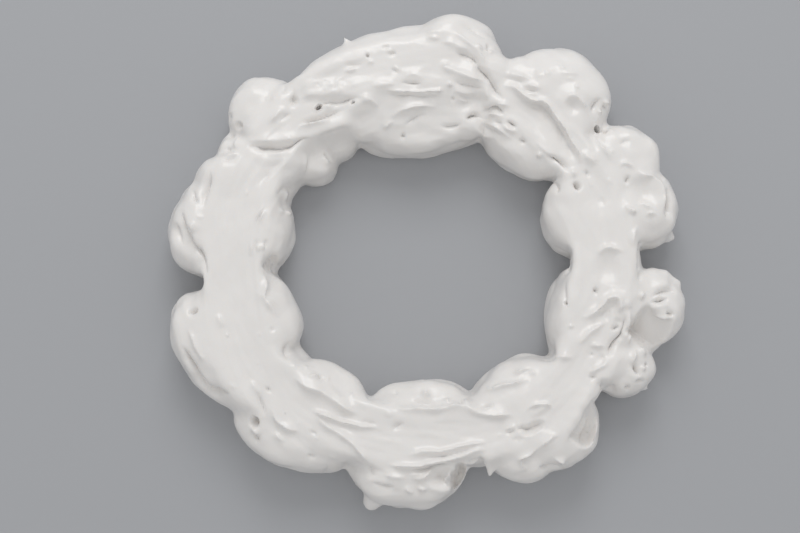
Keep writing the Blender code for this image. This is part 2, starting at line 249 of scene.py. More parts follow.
BACK_RIDGES = (
    Ridge(((347.5, 107), (350.5, 106)), 0.9, 0.8, 0.8),
    Ridge(((348, 105.3), (351, 105)), -1.3, 0.8, 0.8),
    Ridge(((347, 109), (349.8, 109)), -0.8, 0.8, 0.8),
    Ridge(((342, 104), (345, 102)), 1.0, 0.9, 0.9),
    Ridge(((334.5, 104), (337, 103), (340, 102.5)), 1.0, 0.9, 0.9),
    Ridge(((335.5, 107), (338.5, 105), (341.5, 103.5)), -0.8, 1.2, 1.2),
    Ridge(((348.3, 98), (349.5, 97), (350.7, 95.4)), -1.2, 0.8, 0.8),
    Ridge(((348.8, 99.2), (350, 98), (351.5, 95.6)), 1.0, 0.8, 0.8),
    Ridge(((352, 92.5), (355, 93), (358.5, 89.8)), 1.2, 1.2, 1.2),
    Ridge(((350.5, 90.3), (354, 89), (357.5, 88)), -1.7, 0.9, 1.0),
    Ridge(((341, 91.5), (346, 90.5), (349.5, 89.5)), 1.3, 1.0, 1.0),
    Ridge(((345, 88), (350, 86), (355, 85), (0, 84.5), (6, 84.5)), 1.5, 0.9, 0.9),
    Ridge(((352.5, 84), (0, 83), (5, 83)), 1.1, 0.8, 0.9),
    Ridge(((345, 85.5), (350.5, 83.5), (0, 82), (4, 82)), -0.8, 0.8, 1.2),
    Ridge(((346, 73.5), (348, 76), (352, 77), (357, 77.7), (3, 77.3)), 1.7, 1.8, 1.1),
    Ridge(((346, 73), (343, 72), (340.5, 69.5)), 1.2, 0.9, 1.4),
    Ridge(((349, 69.5), (352, 71), (356, 73), (359, 73.3)), -1.6, 0.8, 1.0),
    Ridge(((347.3, 65), (349.5, 64)), -2.0, 0.9, 0.9),
    Ridge(((4.5, 68), (9, 68.5), (14, 70.5)), -2.2, 0.8, 0.9),
    Ridge(((358.5, 114), (3, 115)), 1.1, 1.0, 1.0),
    Ridge(((359.2, 112), (3, 111.5)), 1.1, 1.0, 1.0),
    Ridge(((2, 109.5), (5.5, 109), (8.5, 107.5), (11, 106)), 2.2, 1.8, 1.5),
    Ridge(((5.5, 115.5), (8, 113), (10, 110.5), (12.5, 107.5), (14.5, 104.5), (17.5, 100)), 1.1, 0.8, 0.9),
    Ridge(((6, 105.5), (10, 104), (13, 102.3), (16, 98), (19, 94.5), (22, 91), (25.5, 88)), -2.8, 1.3, 2.3),
    Ridge(((11.5, 110.5), (14.5, 108)), 1.3, 0.9, 0.9),
    Ridge(((14.7, 113.5), (15.8, 111), (15.2, 107.8)), -1.8, 0.9, 0.9),
    Ridge(((16, 110.5), (16.8, 108)), 1.0, 0.9, 0.9),
    Ridge(((7, 120.5), (10, 119), (12.5, 117), (15, 115.5)), -0.9, 1.0, 1.6),
    Ridge(((2, 99), (4.5, 96.5), (8.5, 94.5), (13, 94), (18, 93.5)), 2.6, 1.6, 2.0),
    Ridge(((3, 98.3), (6, 98.5)), 1.2, 1.0, 0.8),
    Ridge(((6.5, 91.5), (10, 89.5), (14, 89.5), (18, 90)), -1.7, 1.4, 1.5),
    Ridge(((6.3, 90), (6.7, 86.5)), 1.3, 0.9, 0.9),
    Ridge(((3.2, 86.5), (3.3, 83.5)), 1.2, 0.9, 0.9),
    Ridge(((8, 85.5), (11.5, 86), (15.5, 87.5)), 1.0, 1.0, 1.0),
    Ridge(((9, 84), (11.5, 82.5), (16, 83)), 1.0, 1.0, 1.0),
    Ridge(((7.5, 81.8), (9, 81.5)), -1.0, 0.7, 0.8),
    Ridge(((18, 92.5), (19, 88.5), (19.5, 85)), 1.5, 1.3, 1.3),
)
KNOT_RIDGES = (
    Ridge(((14, 72.5), (16, 74.7), (18, 77), (21.5, 76.8)), -3.6, 0.9, 1.5),
    Ridge(((19.5, 79.7), (21.5, 82), (24, 83.3), (27.5, 81.5)), -3.0, 0.8, 1.3),
    Ridge(((20.8, 78.7), (23, 80.7), (25.3, 80.5), (27.8, 79.7)), 2.0, 1.5, 1.5),
    Ridge(((22.5, 85.7), (26, 86.3), (28, 85.8)), 1.4, 1.2, 1.2),
    Ridge(((28.5, 79.7), (31, 79.5), (33.5, 78.5)), -2.6, 0.7, 0.9),
    Ridge(((28, 77.3), (31, 76.6), (33.3, 77), (34.3, 78.5)), 1.6, 0.9, 1.3),
    Ridge(((36, 75), (38, 75.7), (40, 75.5)), -2.2, 0.7, 0.8),
    Ridge(((17, 71.5), (23, 70.5), (28, 70)), 1.3, 1.0, 1.1),
    Ridge(((19.5, 76), (23.5, 76), (27.5, 75), (32.5, 73.5), (36, 73.5)), 0.9, 1.0, 1.0),
    Ridge(((20, 74), (25, 73.5), (31, 72)), -1.0, 0.9, 0.9),
    Ridge(((24.5, 77.3), (28.5, 77.5)), -1.2, 0.9, 0.9),
)
BACK_RIGHT_RIDGES = (
    Ridge(((21, 101.5), (25, 102), (29, 103.5), (31, 105)), 1.4, 0.9, 1.1),
    Ridge(((21.2, 99.3), (26.5, 100), (29.3, 102)), -1.0, 1.0, 1.8),
    Ridge(((22, 94.5), (25, 95.5), (28, 95), (33, 95.5), (36, 98), (39.5, 96.5), (43.5, 95), (47, 94),
           (50, 92.5), (54, 91.5), (58, 89.5)), 2.4, 2.0, 1.2),
    Ridge(((29.5, 92), (35, 95), (40, 94.5), (44, 92.5), (48, 91.5), (52, 90), (56.5, 88.5)),
          -1.6, 1.3, 3.5),
    Ridge(((27.5, 97.5), (29, 100), (31.5, 102), (33.5, 102)), 1.5, 1.0, 1.0),
    Ridge(((29, 95.5), (31.5, 98), (34, 99)), 1.3, 0.9, 0.9),
    Ridge(((30.5, 93.8), (33, 95.8), (35, 97.5)), 1.0, 0.8, 0.8),
    Ridge(((28.3, 96), (29.8, 98), (33, 100.5)), -1.2, 0.9, 0.9),
    Ridge(((29.5, 107), (32, 108.5)), 0.6, 1.1, 1.1),
    Ridge(((31, 110.5), (33.5, 111)), 0.6, 1.1, 1.1),
    Ridge(((34.5, 114), (37, 117), (39, 120)), 0.7, 1.1, 1.1),
    Ridge(((33.5, 116.5), (35.5, 118)), 0.6, 1.1, 1.1),
    Ridge(((36.5, 113.5), (39, 116)), 0.6, 1.1, 1.1),
    Ridge(((39.8, 112.5), (41.3, 114)), 0.7, 1.1, 1.1),
    Ridge(((41, 102.5), (40.2, 106.5), (41, 109), (43.5, 109.7), (46, 108.3), (48, 107)), 1.5, 1.0, 1.2),
    Ridge(((47.5, 109), (47, 113), (46.3, 119)), -2.4, 1.1, 1.3),
    Ridge(((47.3, 118), (48.8, 121)), 1.8, 0.9, 0.9),
    Ridge(((47.8, 116.5), (49.5, 119)), -1.6, 0.9, 0.9),
    Ridge(((48.5, 112.5), (48.8, 115)), 1.5, 0.9, 0.9),
    Ridge(((52.3, 109), (53.8, 111.3)), -3.0, 0.9, 0.9),
    Ridge(((52, 104.5), (54, 103), (56.5, 102.5), (59.5, 103.5), (61.5, 103)), 1.4, 1.3, 1.3),
    Ridge(((59, 109.5), (58.5, 113.5), (59.3, 118)), -1.0, 0.9, 1.0),
    Ridge(((54, 93.5), (57, 94.5), (60.5, 96)), 1.5, 1.8, 1.8),
    Ridge(((41.5, 79), (46.2, 79), (49, 80), (51.6, 82.8)), 1.0, 2.5, 1.0),
    Ridge(((47.5, 77.5), (50, 79.5), (53, 81.7), (56, 83), (58, 82.3)), -4.0, 0.9, 1.7),
    Ridge(((56.5, 83.5), (58.5, 83.3), (61, 83)), 1.8, 1.4, 1.4),
    Ridge(((61.5, 81.7), (63.5, 82.2), (65.3, 83.2)), -4.0, 1.0, 1.1),
    Ridge(((60, 90.5), (62.5, 88.3)), -1.2, 0.9, 0.9),
    Ridge(((45, 77.3), (47.3, 74.5)), 1.6, 0.9, 0.9),
    Ridge(((57, 75), (60, 74), (63.5, 71.5)), -1.4, 1.0, 1.0),
)
RIGHT_RIDGES = (
    Ridge(((66.3, 111.5), (68, 115.5), (69.5, 119), (72, 121), (74.5, 121.5), (77, 119.5), (79, 117)),
          1.8, 1.1, 1.8),
    Ridge(((69.5, 104.5), (68, 107), (67, 109.5)), -2.4, 0.9, 1.1),
    Ridge(((74.3, 107), (75.3, 110), (76.7, 112.7), (77.5, 115)), 1.7, 1.3, 1.3),
    Ridge(((74.5, 100.5), (76, 102.5), (77.3, 103.7)), 1.5, 1.1, 1.1),
    Ridge(((75.8, 104), (77.8, 103.3)), 1.5, 1.0, 1.0),
    Ridge(((64.3, 104.5), (63.6, 108), (64.8, 110.5), (66.3, 112)), 1.3, 1.0, 1.0),
    Ridge(((72.7, 125), (74.5, 124), (76.5, 122.7), (78.3, 121.5), (80.3, 119)), -4.5, 1.2, 1.2),
    Ridge(((80, 105.5), (82, 103), (84.7, 101.3), (87.5, 101)), 1.2, 2.0, 1.0),
    Ridge(((79, 109), (78.3, 112), (79, 116)), 1.2, 1.0, 1.0),
    Ridge(((69.5, 90.5), (73, 91)), -0.6, 1.5, 1.5),
    Ridge(((89, 82.3), (87.2, 85), (86.5, 88), (87, 91.5), (87.5, 94), (89, 95.5)), 2.4, 1.3, 1.7),
    Ridge(((100.5, 81.5), (101, 83.5), (101.5, 85.5)), -3.0, 0.8, 0.9),
    Ridge(((112, 79), (110.3, 83), (108, 85.7), (105.3, 88.4), (103, 89.7), (101.8, 92.5), (101.7, 95),
           (103.3, 97), (105.3, 97.2), (107.3, 96)), 2.8, 1.8, 1.8),
    Ridge(((110, 86), (107.5, 89.5), (105, 92.5), (106, 95)), -1.5, 2.2, 2.2),
    Ridge(((102, 97.5), (102.7, 100), (104.5, 102)), 1.2, 1.0, 2.6),
    Ridge(((121, 83.5), (117.5, 85.5), (114.5, 87.5), (111, 91), (108.7, 93.7)), 1.9, 1.7, 1.7),
    Ridge(((111.7, 95.5), (110.8, 97), (109.3, 99)), -3.0, 0.9, 0.9),
    Ridge(((105.5, 100), (108.5, 100.5), (111, 101), (114, 100.5), (117, 99.3), (119.7, 99)),
          -3.0, 1.6, 1.2),
    Ridge(((104.5, 102), (107.5, 102.5), (110, 104), (113, 104.5)), 1.2, 0.9, 0.9),
    Ridge(((107.5, 105), (111, 106), (114.5, 107)), 1.2, 0.9, 0.9),
    Ridge(((111.3, 102.5), (113.5, 103)), -1.2, 0.8, 0.8),
    Ridge(((97, 69.3), (101.5, 68.7), (105, 69.5), (108, 70.7), (111, 74)), -1.0, 0.9, 0.9),
    Ridge(((114.8, 76), (116.3, 77.5)), 1.0, 0.9, 0.9),
)
CURL_RIDGES = (
    Ridge(((98, 107.5), (99.8, 106.5), (101.3, 106.3)), 1.6, 1.2, 1.2),
    Ridge(((92.5, 104.5), (94.5, 105.2), (96.5, 104.7)), -1.4, 1.0, 1.0),
    Ridge(((100.3, 110), (99, 113), (97.6, 117), (97, 121), (97.6, 125.5)), -2.5, 1.2, 1.8),
    Ridge(((99.5, 112.5), (98.3, 117)), 1.0, 1.0, 1.0),
    Ridge(((101.4, 110.7), (100.5, 114), (99.9, 117.7), (99, 120.5)), -3.4, 0.8, 1.0),
    Ridge(((102.6, 111), (101.5, 116), (101, 122)), 1.8, 1.0, 2.0),
    Ridge(((103.4, 113), (103.5, 118.5), (104, 125)), 1.7, 1.2, 1.0),
    Ridge(((102.7, 119.5), (102.8, 122), (102.7, 125)), -2.6, 0.9, 0.9),
    Ridge(((113.5, 110.5), (115.7, 111.8), (118, 112)), 1.7, 1.1, 1.1),
    Ridge(((116.8, 112.5), (118.2, 116), (119.3, 119.5)), -3.2, 0.9, 0.9),
    Ridge(((116.5, 117), (117.8, 120)), 1.3, 0.9, 0.9),
    Ridge(((112.5, 111), (113.5, 114.5), (114.3, 118)), 1.6, 1.1, 1.1),
    Ridge(((127.7, 108.5), (126.5, 110)), -2.6, 1.0, 1.0),
    Ridge(((126.3, 108.5), (124, 112)), -1.2, 1.0, 1.0),
    Ridge(((124, 116), (122.5, 118.5)), -2.4, 1.0, 1.0),
    Ridge(((121, 118), (119.5, 123)), -2.4, 1.0, 1.0),
)
FRONT_RIGHT_RIDGES = (
    Ridge(((119.3, 89), (117.8, 91.5), (117, 95), (117.2, 97.5)), 1.7, 1.3, 1.3),
    Ridge(((129, 77.5), (127, 80.5), (125.5, 83.5), (124.5, 87)), 1.5, 1.4, 1.4),
    Ridge(((118.5, 100), (121.5, 100.7), (123.3, 99.3), (125, 97.3), (125, 94.5)), 1.8, 1.3, 1.3),
    Ridge(((126.7, 97), (126, 99), (125.3, 101.3)), -1.9, 0.8, 1.0),
    Ridge(((120, 91.8), (121.8, 93)), -1.0, 0.8, 0.8),
    Ridge(((123.5, 101), (126, 103), (129, 103.7), (132.5, 103.8), (135.5, 105.5), (139, 107.5),
           (142, 110), (144.5, 112.3)), 1.3, 0.8, 3.0),
    Ridge(((134, 108), (137, 111), (141, 113)), 1.2, 1.0, 1.0),
    Ridge(((134, 110.5), (136.5, 113.5), (138.5, 116), (141, 118)), -1.6, 1.0, 1.0),
    Ridge(((148.3, 114), (147.3, 118), (146.3, 122)), 1.6, 1.0, 1.0),
    Ridge(((153, 115.5), (149.5, 119.3), (147, 123.5)), -1.9, 0.9, 0.9),
    Ridge(((151, 107), (147.5, 106.5), (145, 106.5), (144.3, 109)), 1.9, 1.5, 1.5),
    Ridge(((150.5, 94.5), (148.5, 96.5), (147, 99), (147.5, 102)), -1.2, 2.5, 2.5),
    Ridge(((153.5, 93.5), (151.8, 94.6), (150, 96.2), (148.3, 97)), -2.6, 1.0, 1.3),
    Ridge(((152.5, 92.5), (151.3, 93.5)), 1.0, 1.0, 1.0),
    Ridge(((148, 88.2), (145.3, 88.2), (143.3, 89.5), (141.5, 91.7), (141, 94), (142, 96)), 1.6, 1.0, 1.0),
    Ridge(((144.5, 69.8), (142, 70.8), (140, 71.3), (137.5, 72.3)), 1.3, 0.9, 0.8),
    Ridge(((143, 72), (139.5, 72.8), (136.5, 74.5)), -0.9, 0.9, 0.9),
    Ridge(((158, 71), (154, 72), (150, 72.5), (146, 74.5), (142, 76.5), (140, 77.3)), 2.0, 1.1, 1.1),
    Ridge(((162.5, 77.5), (160, 77.8), (157.5, 78.3), (155.5, 78.4)), -1.4, 1.2, 1.2),
    Ridge(((157.5, 93), (155, 93.5), (153, 93.5)), -1.1, 0.9, 0.9),
    Ridge(((157, 91.5), (154.5, 92), (152.5, 92)), 1.1, 0.9, 0.9),
    Ridge(((157, 96.5), (154, 98.5), (152, 101)), -1.0, 2.2, 2.2),
    Ridge(((149, 107), (152.5, 107), (155.5, 107.3), (156.2, 110), (156, 112.5), (155.3, 117)),
          1.5, 1.2, 1.5),
    Ridge(((167, 71.5), (166.5, 74), (166, 77)), 1.2, 1.5, 1.5),
    Ridge(((169.5, 73.7), (167.3, 72.8)), -1.3, 0.9, 0.9),
)
FRONT_RIDGES = (
    Ridge(((194, 76), (190, 75.5), (186.5, 75), (180, 74.8), (174, 74.7), (170, 74.8), (166, 76.8),
           (160.6, 81.3), (156, 84.5), (151.3, 88.8)), 2.0, 2.2, 1.0),
    Ridge(((187, 68.5), (186.5, 70.3), (183.6, 71.5), (180, 71), (177, 70.4)), -1.7, 1.3, 1.3),
    Ridge(((184.3, 66), (182, 66.8), (179.5, 67.6)), 1.7, 1.3, 1.3),
    Ridge(((174, 68.5), (172.7, 72.5)), 1.2, 1.2, 1.2),
    Ridge(((195.5, 66), (194.5, 69.5)), -0.8, 1.2, 1.2),
    Ridge(((193.5, 86.5), (191.5, 85), (190, 83), (188.5, 81.3)), -1.1, 1.5, 1.5),
    Ridge(((187, 97.3), (185.4, 96.9), (180, 95), (177, 94.9), (174, 94.4), (170, 93.6), (162, 95)),
          1.7, 1.0, 1.0),
    Ridge(((182, 98), (176, 97.2), (170, 96.2), (165, 95.5)), -1.2, 0.9, 0.9),
    Ridge(((192, 103), (188, 102.7), (183, 101.9), (180, 100.7), (177, 99.5), (174.5, 98.5), (170, 97.5),
           (166, 97.3), (163, 98)), 2.3, 1.1, 1.1),
    Ridge(((186, 104.3), (182, 103.5), (178, 101.8), (173, 100.5)), -2.2, 0.8, 1.1),
    Ridge(((192.5, 108.5), (190, 108.5), (187.5, 108.5), (185.5, 107.8)), 1.3, 1.0, 1.0),
    Ridge(((178.5, 101.5), (180, 104.5), (181.5, 107), (183.5, 108.5), (185.5, 109)), 1.8, 1.0, 1.6),
    Ridge(((186, 107.5), (183.5, 106), (181, 104.3)), 1.4, 0.9, 0.9),
    Ridge(((183.8, 112.5), (182, 112.8), (180.3, 113.3)), 2.0, 1.2, 1.2),
    Ridge(((186.3, 112), (185.5, 114.5), (184, 116.5)), 1.5, 1.0, 1.0),
    Ridge(((195.5, 113.5), (192, 114.8), (190, 114), (188.3, 112.5)), -1.8, 1.2, 1.2),
    Ridge(((197, 106), (195.7, 109), (194.5, 111)), -1.3, 1.5, 1.5),
    Ridge(((172, 101), (168.5, 101.5), (165.5, 101)), 1.5, 1.0, 1.0),
    Ridge(((175.3, 105), (174.5, 107.5), (174.8, 110)), 1.3, 0.9, 0.9),
)
FRONT_LEFT_RIDGES = (
    Ridge(((230, 90), (227, 88.2), (224.5, 87.5), (221.5, 86.3), (218.7, 84.8), (215, 84.5), (211.7, 84.7),
           (208, 84.5), (204.5, 84.4)), 1.9, 2.4, 1.2),
    Ridge(((218.5, 94.8), (216.5, 94), (211.5, 92.5), (207, 91), (203.5, 89.7), (200, 88.3), (196.5, 87)),
          2.2, 1.1, 1.1),
    Ridge(((204, 87), (200, 86.5), (197, 85.3)), -1.1, 1.0, 1.0),
    Ridge(((216.5, 94.5), (215.8, 95.5), (212, 97.2), (208, 97.5), (203, 98.6), (200.7, 101),
           (198, 103.5), (195.5, 106)), 2.0, 2.2, 1.3),
    Ridge(((227, 106), (225.5, 108), (223.5, 109.4), (220.5, 108.6), (218.3, 107.3), (216.4, 106)),
          2.0, 1.5, 1.5),
    Ridge(((236.5, 106.5), (233, 107.2), (230.5, 107.3)), 1.6, 1.5, 1.5),
    Ridge(((232.5, 108), (230, 109), (227.7, 111.1), (226, 113.3)), -2.3, 1.2, 1.2),
    Ridge(((207, 112.5), (206.5, 116), (206.3, 118.5), (207.3, 120.8)), -1.2, 0.9, 0.9),
    Ridge(((212.5, 114), (209.5, 112.5)), -1.2, 1.0, 1.0),
    Ridge(((215.5, 103.5), (213.8, 102.8), (212.5, 103.8)), -1.4, 0.8, 0.8),
    Ridge(((224, 80.5), (221, 79.5)), -1.3, 0.9, 0.9),
    Ridge(((226, 84.5), (224.5, 82), (223, 80.8)), 1.3, 0.9, 0.9),
    Ridge(((231.3, 101.5), (231, 104)), -1.5, 1.0, 1.0),
    Ridge(((226.3, 122.3), (224.7, 123.2), (223, 124)), -2.0, 1.1, 1.1),
    Ridge(((227.3, 121), (225.5, 120.8), (224, 121.8)), 1.6, 1.3, 1.3),
    Ridge(((222.5, 114), (220.5, 115.2), (217.8, 115.4)), 1.2, 1.2, 1.2),
)
LEFT_RIDGES = (
    Ridge(((257.4, 123.5), (257.5, 120), (257.8, 117)), -3.2, 1.0, 1.0),
    Ridge(((251, 131), (250, 130.4), (247, 129.9), (243.2, 129.3), (241, 128.9), (239, 127.4),
           (237, 122), (236, 118)), -3.6, 1.5, 1.1),
    Ridge(((255, 124.5), (252, 124), (249, 123.5), (246.5, 122.3), (244.5, 121)), 1.0, 1.3, 1.3),
    Ridge(((249.3, 108), (249, 106)), 0.9, 0.9, 0.9),
    Ridge(((256, 109), (253, 108), (251, 107.5)), 0.9, 1.5, 1.5),
    Ridge(((265.5, 82.5), (262, 82.5), (259, 83.5), (257.3, 84.5), (254.5, 83.5), (251.3, 82),
           (248.5, 81.5)), 1.6, 1.9, 1.3),
    Ridge(((266.8, 83.2), (267.5, 82), (269, 79), (271.6, 75)), -3.2, 1.2, 1.5),
    Ridge(((240, 80), (237.5, 84), (235, 86.5)), -2.0, 1.5, 1.5),
    Ridge(((247, 85.5), (244.5, 85)), -0.7, 1.0, 1.0),
    Ridge(((281.5, 127), (279, 125), (276.6, 122.9), (273.4, 118.8), (271.2, 114.8), (268.4, 112.3),
           (265, 110.8)), -2.8, 1.2, 2.4),
    Ridge(((279, 129.5), (276.5, 128), (274.5, 125.5), (273.3, 123.5)), -1.8, 1.1, 1.1),
    Ridge(((292.5, 119), (290, 117.3), (287.3, 117), (284.5, 116.5), (282.3, 115.2)), -2.2, 0.9, 1.4),
    Ridge(((286.8, 125), (286, 123.3), (284.7, 121.9), (284, 119.5), (283.7, 117.5)), -2.2, 1.0, 1.0),
    Ridge(((279.5, 119), (277.5, 119), (276, 118.3)), 1.3, 1.6, 1.6),
    Ridge(((289.5, 87.5), (286, 87.5), (283, 88), (280.5, 88.5)), 1.0, 0.7, 0.7),
    Ridge(((288, 86.5), (284.5, 87), (281, 87.3)), -0.8, 0.7, 0.7),
    Ridge(((287, 85.5), (284, 86), (281, 86)), 1.0, 0.7, 0.7),
    Ridge(((276.5, 88.7), (273, 89), (270.5, 88.8)), 1.0, 0.7, 0.7),
    Ridge(((277, 87), (274.5, 87), (272, 87)), -0.8, 0.7, 0.7),
    Ridge(((275.5, 85.7), (272, 85.3)), 1.1, 0.8, 0.8),
    Ridge(((276, 83.2), (272.5, 82.7)), 0.9, 0.7, 0.7),
    Ridge(((277.5, 82), (273, 81.7)), -0.7, 0.8, 0.8),
    Ridge(((297.3, 80.8), (294.5, 80.5), (291.5, 79.5)), 1.2, 1.2, 1.2),
    Ridge(((290.3, 76.5), (288, 73.5)), 1.0, 1.0, 1.0),
)
RIDGES = (BACK_LEFT_RIDGES + BACK_RIDGES + KNOT_RIDGES + BACK_RIGHT_RIDGES + RIGHT_RIDGES + CURL_RIDGES
          + FRONT_RIGHT_RIDGES + FRONT_RIDGES + FRONT_LEFT_RIDGES + LEFT_RIDGES)

# ---- hollows, holes and knobs -------------------------------------------------------
# depth is how far a hollow goes down, or how far a knob stands up where it is
# negative; rim is the height of the edge around it
Scoop = namedtuple("Scoop", "bearing distance long wide turn depth rim")
SCOOPS = (
    Scoop(305.3, 118, 2.2, 2.2, 0, 2.0, 0.0),
    Scoop(315, 115.7, 1.3, 1.3, 0, -0.8, 0.0),
    Scoop(316, 112.5, 1.3, 1.3, 0, -0.8, 0.0),
    Scoop(319.5, 104.5, 2.8, 2.8, 0, 2.0, 0.0),
    Scoop(324, 95, 2.4, 1.4, 0, 5.0, 0.6),
    Scoop(333.5, 87.5, 1.5, 0.9, 0, 3.5, 0.0),
    Scoop(343, 106.7, 1.1, 1.1, 0, 2.5, 0.0),
    Scoop(343.2, 108.5, 1.3, 1.3, 0, -1.0, 0.0),
    Scoop(43, 105, 5, 5, 0, 1.8, 0.0),
    Scoop(52, 107.5, 2.2, 1.7, 0, 7.0, 0.5),
    Scoop(54.3, 112.8, 1.1, 1.1, 0, -1.0, 0.0),
    Scoop(59.2, 106.3, 1.5, 1.5, 0, -1.2, 0.0),
    Scoop(66.3, 97.7, 2.2, 1.5, 0, -1.5, 0.0),
    Scoop(65, 88.7, 1.2, 1.2, 0, -1.0, 0.0),
    Scoop(72.5, 112.5, 9.5, 10.5, 0, 2.5, 0.0),
    Scoop(71, 125.2, 2, 2, 0, -1.5, 0.0),
    Scoop(93, 88, 9, 8, 0, 1.8, 0.0),
    Scoop(108.8, 97.4, 2.5, 2.5, 0, 1.2, 0.0),
    Scoop(108, 70.5, 1.1, 1.1, 0, 3.5, 0.3),
    Scoop(108.7, 122.5, 1.0, 1.0, 0, -1.0, 0.0),
    Scoop(116, 119.7, 1.0, 1.0, 0, 2.0, 0.0),
    Scoop(120, 97.4, 2, 2, 0, 0.8, 0.0),
    Scoop(144.5, 92, 6, 2.6, -10, -1.6, 0.0),
    Scoop(148.8, 97.5, 6.5, 3.0, 0, 2.4, 0.3),
    Scoop(138, 76, 1.6, 1.3, 0, -1.8, 0.0),
    Scoop(155.3, 70.4, 2, 1.6, 0, -1.2, 0.0),
    Scoop(158.5, 93, 1.1, 1.1, 0, -0.9, 0.0),
    Scoop(177, 108, 8, 6, 0, 5.0, 0.6),
    Scoop(194.7, 79.2, 2.4, 2.0, 0, -1.5, 0.0),
    Scoop(197.3, 75.4, 1.1, 0.9, 0, -1.0, 0.0),
    Scoop(210, 77.5, 1.2, 2.0, 0, -1.2, 0.0),
    Scoop(207.8, 81.5, 1.2, 1.2, 0, -1.0, 0.0),
    Scoop(206.2, 108.6, 3, 1.5, 0, -1.2, 0.0),
    Scoop(212.3, 104.8, 1.2, 1.2, 0, -1.2, 0.0),
    Scoop(218.8, 104, 1.1, 1.1, 0, -1.0, 0.0),
    Scoop(220.3, 77.8, 1.1, 2.0, 0, -1.3, 0.0),
    Scoop(228.5, 81.5, 2.2, 1.1, 0, -1.5, 0.0),
    Scoop(231.7, 85.6, 1.6, 1.5, 0, -1.3, 0.0),
    Scoop(227.2, 118.4, 3.2, 2.8, 0, 6.0, 0.0),
    Scoop(237.2, 115.5, 3, 1.6, 15, -1.3, 0.0),
    Scoop(246.5, 122.1, 2, 1.2, 0, -1.3, 0.0),
    Scoop(246, 92, 1.4, 1.4, 0, -1.1, 0.0),
    Scoop(238.5, 99.5, 1.2, 1.2, 0, -0.9, 0.0),
    Scoop(258, 97, 12, 8, 0, 0.8, 0.0),
    Scoop(280.5, 116, 1.4, 2.0, 0, -1.2, 0.0),
    Scoop(288.7, 78, 1.7, 1.7, 0, -1.5, 0.0),
    Scoop(289.8, 97.2, 2, 1.1, 0, -1.0, 0.0),
)

# ---- foamy patches --------------------------------------------------------------------
# where the skin is full of small bubbles
Patch = namedtuple("Patch", "bearing distance long wide turn rough")
PATCHES = (
    Patch(331, 99.5, 13, 5, -38, 0.30),
    Patch(322, 92, 9, 4, -20, 0.16),
    Patch(176.5, 109, 9, 8, 0, 0.30),
    Patch(57, 95, 8, 4, 20, 0.25),
    Patch(49, 113, 7, 6, 0, 0.30),
    Patch(283, 84, 11, 5, 0, 0.14),
    Patch(112, 101, 9, 4, 0, 0.22),
    Patch(120, 115, 8, 6, 0, 0.22),
    Patch(12, 86, 12, 6, 0, 0.14),
    Patch(24, 78, 10, 6, 0, 0.20),
    Patch(226, 121, 6, 4, 0, 0.20),
    Patch(183, 111, 6, 5, 0, 0.24),
)


# ---- places and curves ---------------------------------------------------------------

def place(bearing, distance):
    """X and Y in millimetres of a bearing and a distance."""
    angle = math.radians(bearing)
    return distance * math.sin(angle), distance * math.cos(angle)


def smooth_path(path, steps=8):
    """Points of a smooth curve through a path's own points."""
    points = np.array([place(bearing, distance) for bearing, distance in path])
    first = 2 * points[0] - points[1]
    last = 2 * points[-1] - points[-2]
    points = np.vstack((first, points, last))
    curve = []
    for a, b, c, d in zip(points, points[1:], points[2:], points[3:]):
        for step in range(steps):
            t = step / steps
            curve.append(0.5 * (2 * b + (c - a) * t + (2 * a - 5 * b + 4 * c - d) * t ** 2
                                + (3 * b - a - 3 * c + d) * t ** 3))
    curve.append(points[-2])
    return np.array(curve)


def fade(value, start, end):
    """1 up to start, 0 from end on, and a smooth slope between them."""
    t = np.clip((value - start) / (end - start), 0.0, 1.0)
    return 1.0 - t * t * (3.0 - 2.0 * t)


def ripple(spots, size, seed=0.0):
    """Soft noise of about -1 to 1 at each spot, with waves of one size."""
    return np.array([noise.noise((x / size + seed, y / size, z / size)) for x, y, z in spots])


# ---- laying the foam ---------------------------------------------------------------

BALLS = {}


def ball(detail):
    """The mesh of one ball, made once for each detail."""
    if detail not in BALLS:
        shape = bmesh.new()
        bmesh.ops.create_icosphere(shape, subdivisions=detail, radius=1.0)
        BALLS[detail] = bpy.data.meshes.new("ball")
        shape.to_mesh(BALLS[detail])
        shape.free()
    return BALLS[detail]


def add_lump(foam, x, y, z, turn, half_sizes, detail, square=2.0, uneven=0.0):
    """Add one ball squeezed to its half sizes; a square above 2 gives it a flatter top."""
    start = len(foam.verts)
    foam.from_mesh(ball(detail))
    foam.verts.ensure_lookup_table()
    spot = (Matrix.Translation((x, y, z)) @ Matrix.Rotation(turn, 4, "Z")
            @ Matrix.Diagonal((*half_sizes, 1.0)))
    for vert in foam.verts[start:]:
        reach = (vert.co.xy.length ** square + abs(vert.co.z) ** square) ** (1.0 / square)
        sway = noise.noise(vert.co * DOLLOP_SWAYS + Vector((x, y, 0.0)))
        fold = abs(noise.noise(vert.co * DOLLOP_FOLDS + Vector((y, 0.0, x))))
        swell = 1.0 + uneven * (sway + DOLLOP_CREASE * fold - DOLLOP_EVEN)
        vert.co = spot @ (vert.co / reach * swell)


def add_dollop(foam, row, dollop):
    """Add one spooned dollop of a row, standing on the tray."""
    waist = dollop.high * WAIST
    x, y = place(dollop.bearing, row + dollop.out)
    turn = math.radians(dollop.turn - dollop.bearing)
    half_sizes = (dollop.long, dollop.wide, dollop.high - waist)
    add_lump(foam, x, y, waist, turn, half_sizes, DOLLOP_DETAIL, DOLLOP_SQUARE, DOLLOP_UNEVEN)


def add_bed(foam, path, half, top, thick):
    """Add the foam under a stroke, as flat lumps that run into each other."""
    for x, y in smooth_path(path, steps=4):
        add_lump(foam, x, y, top - thick, 0.0, (half, half, thick), BED_DETAIL)


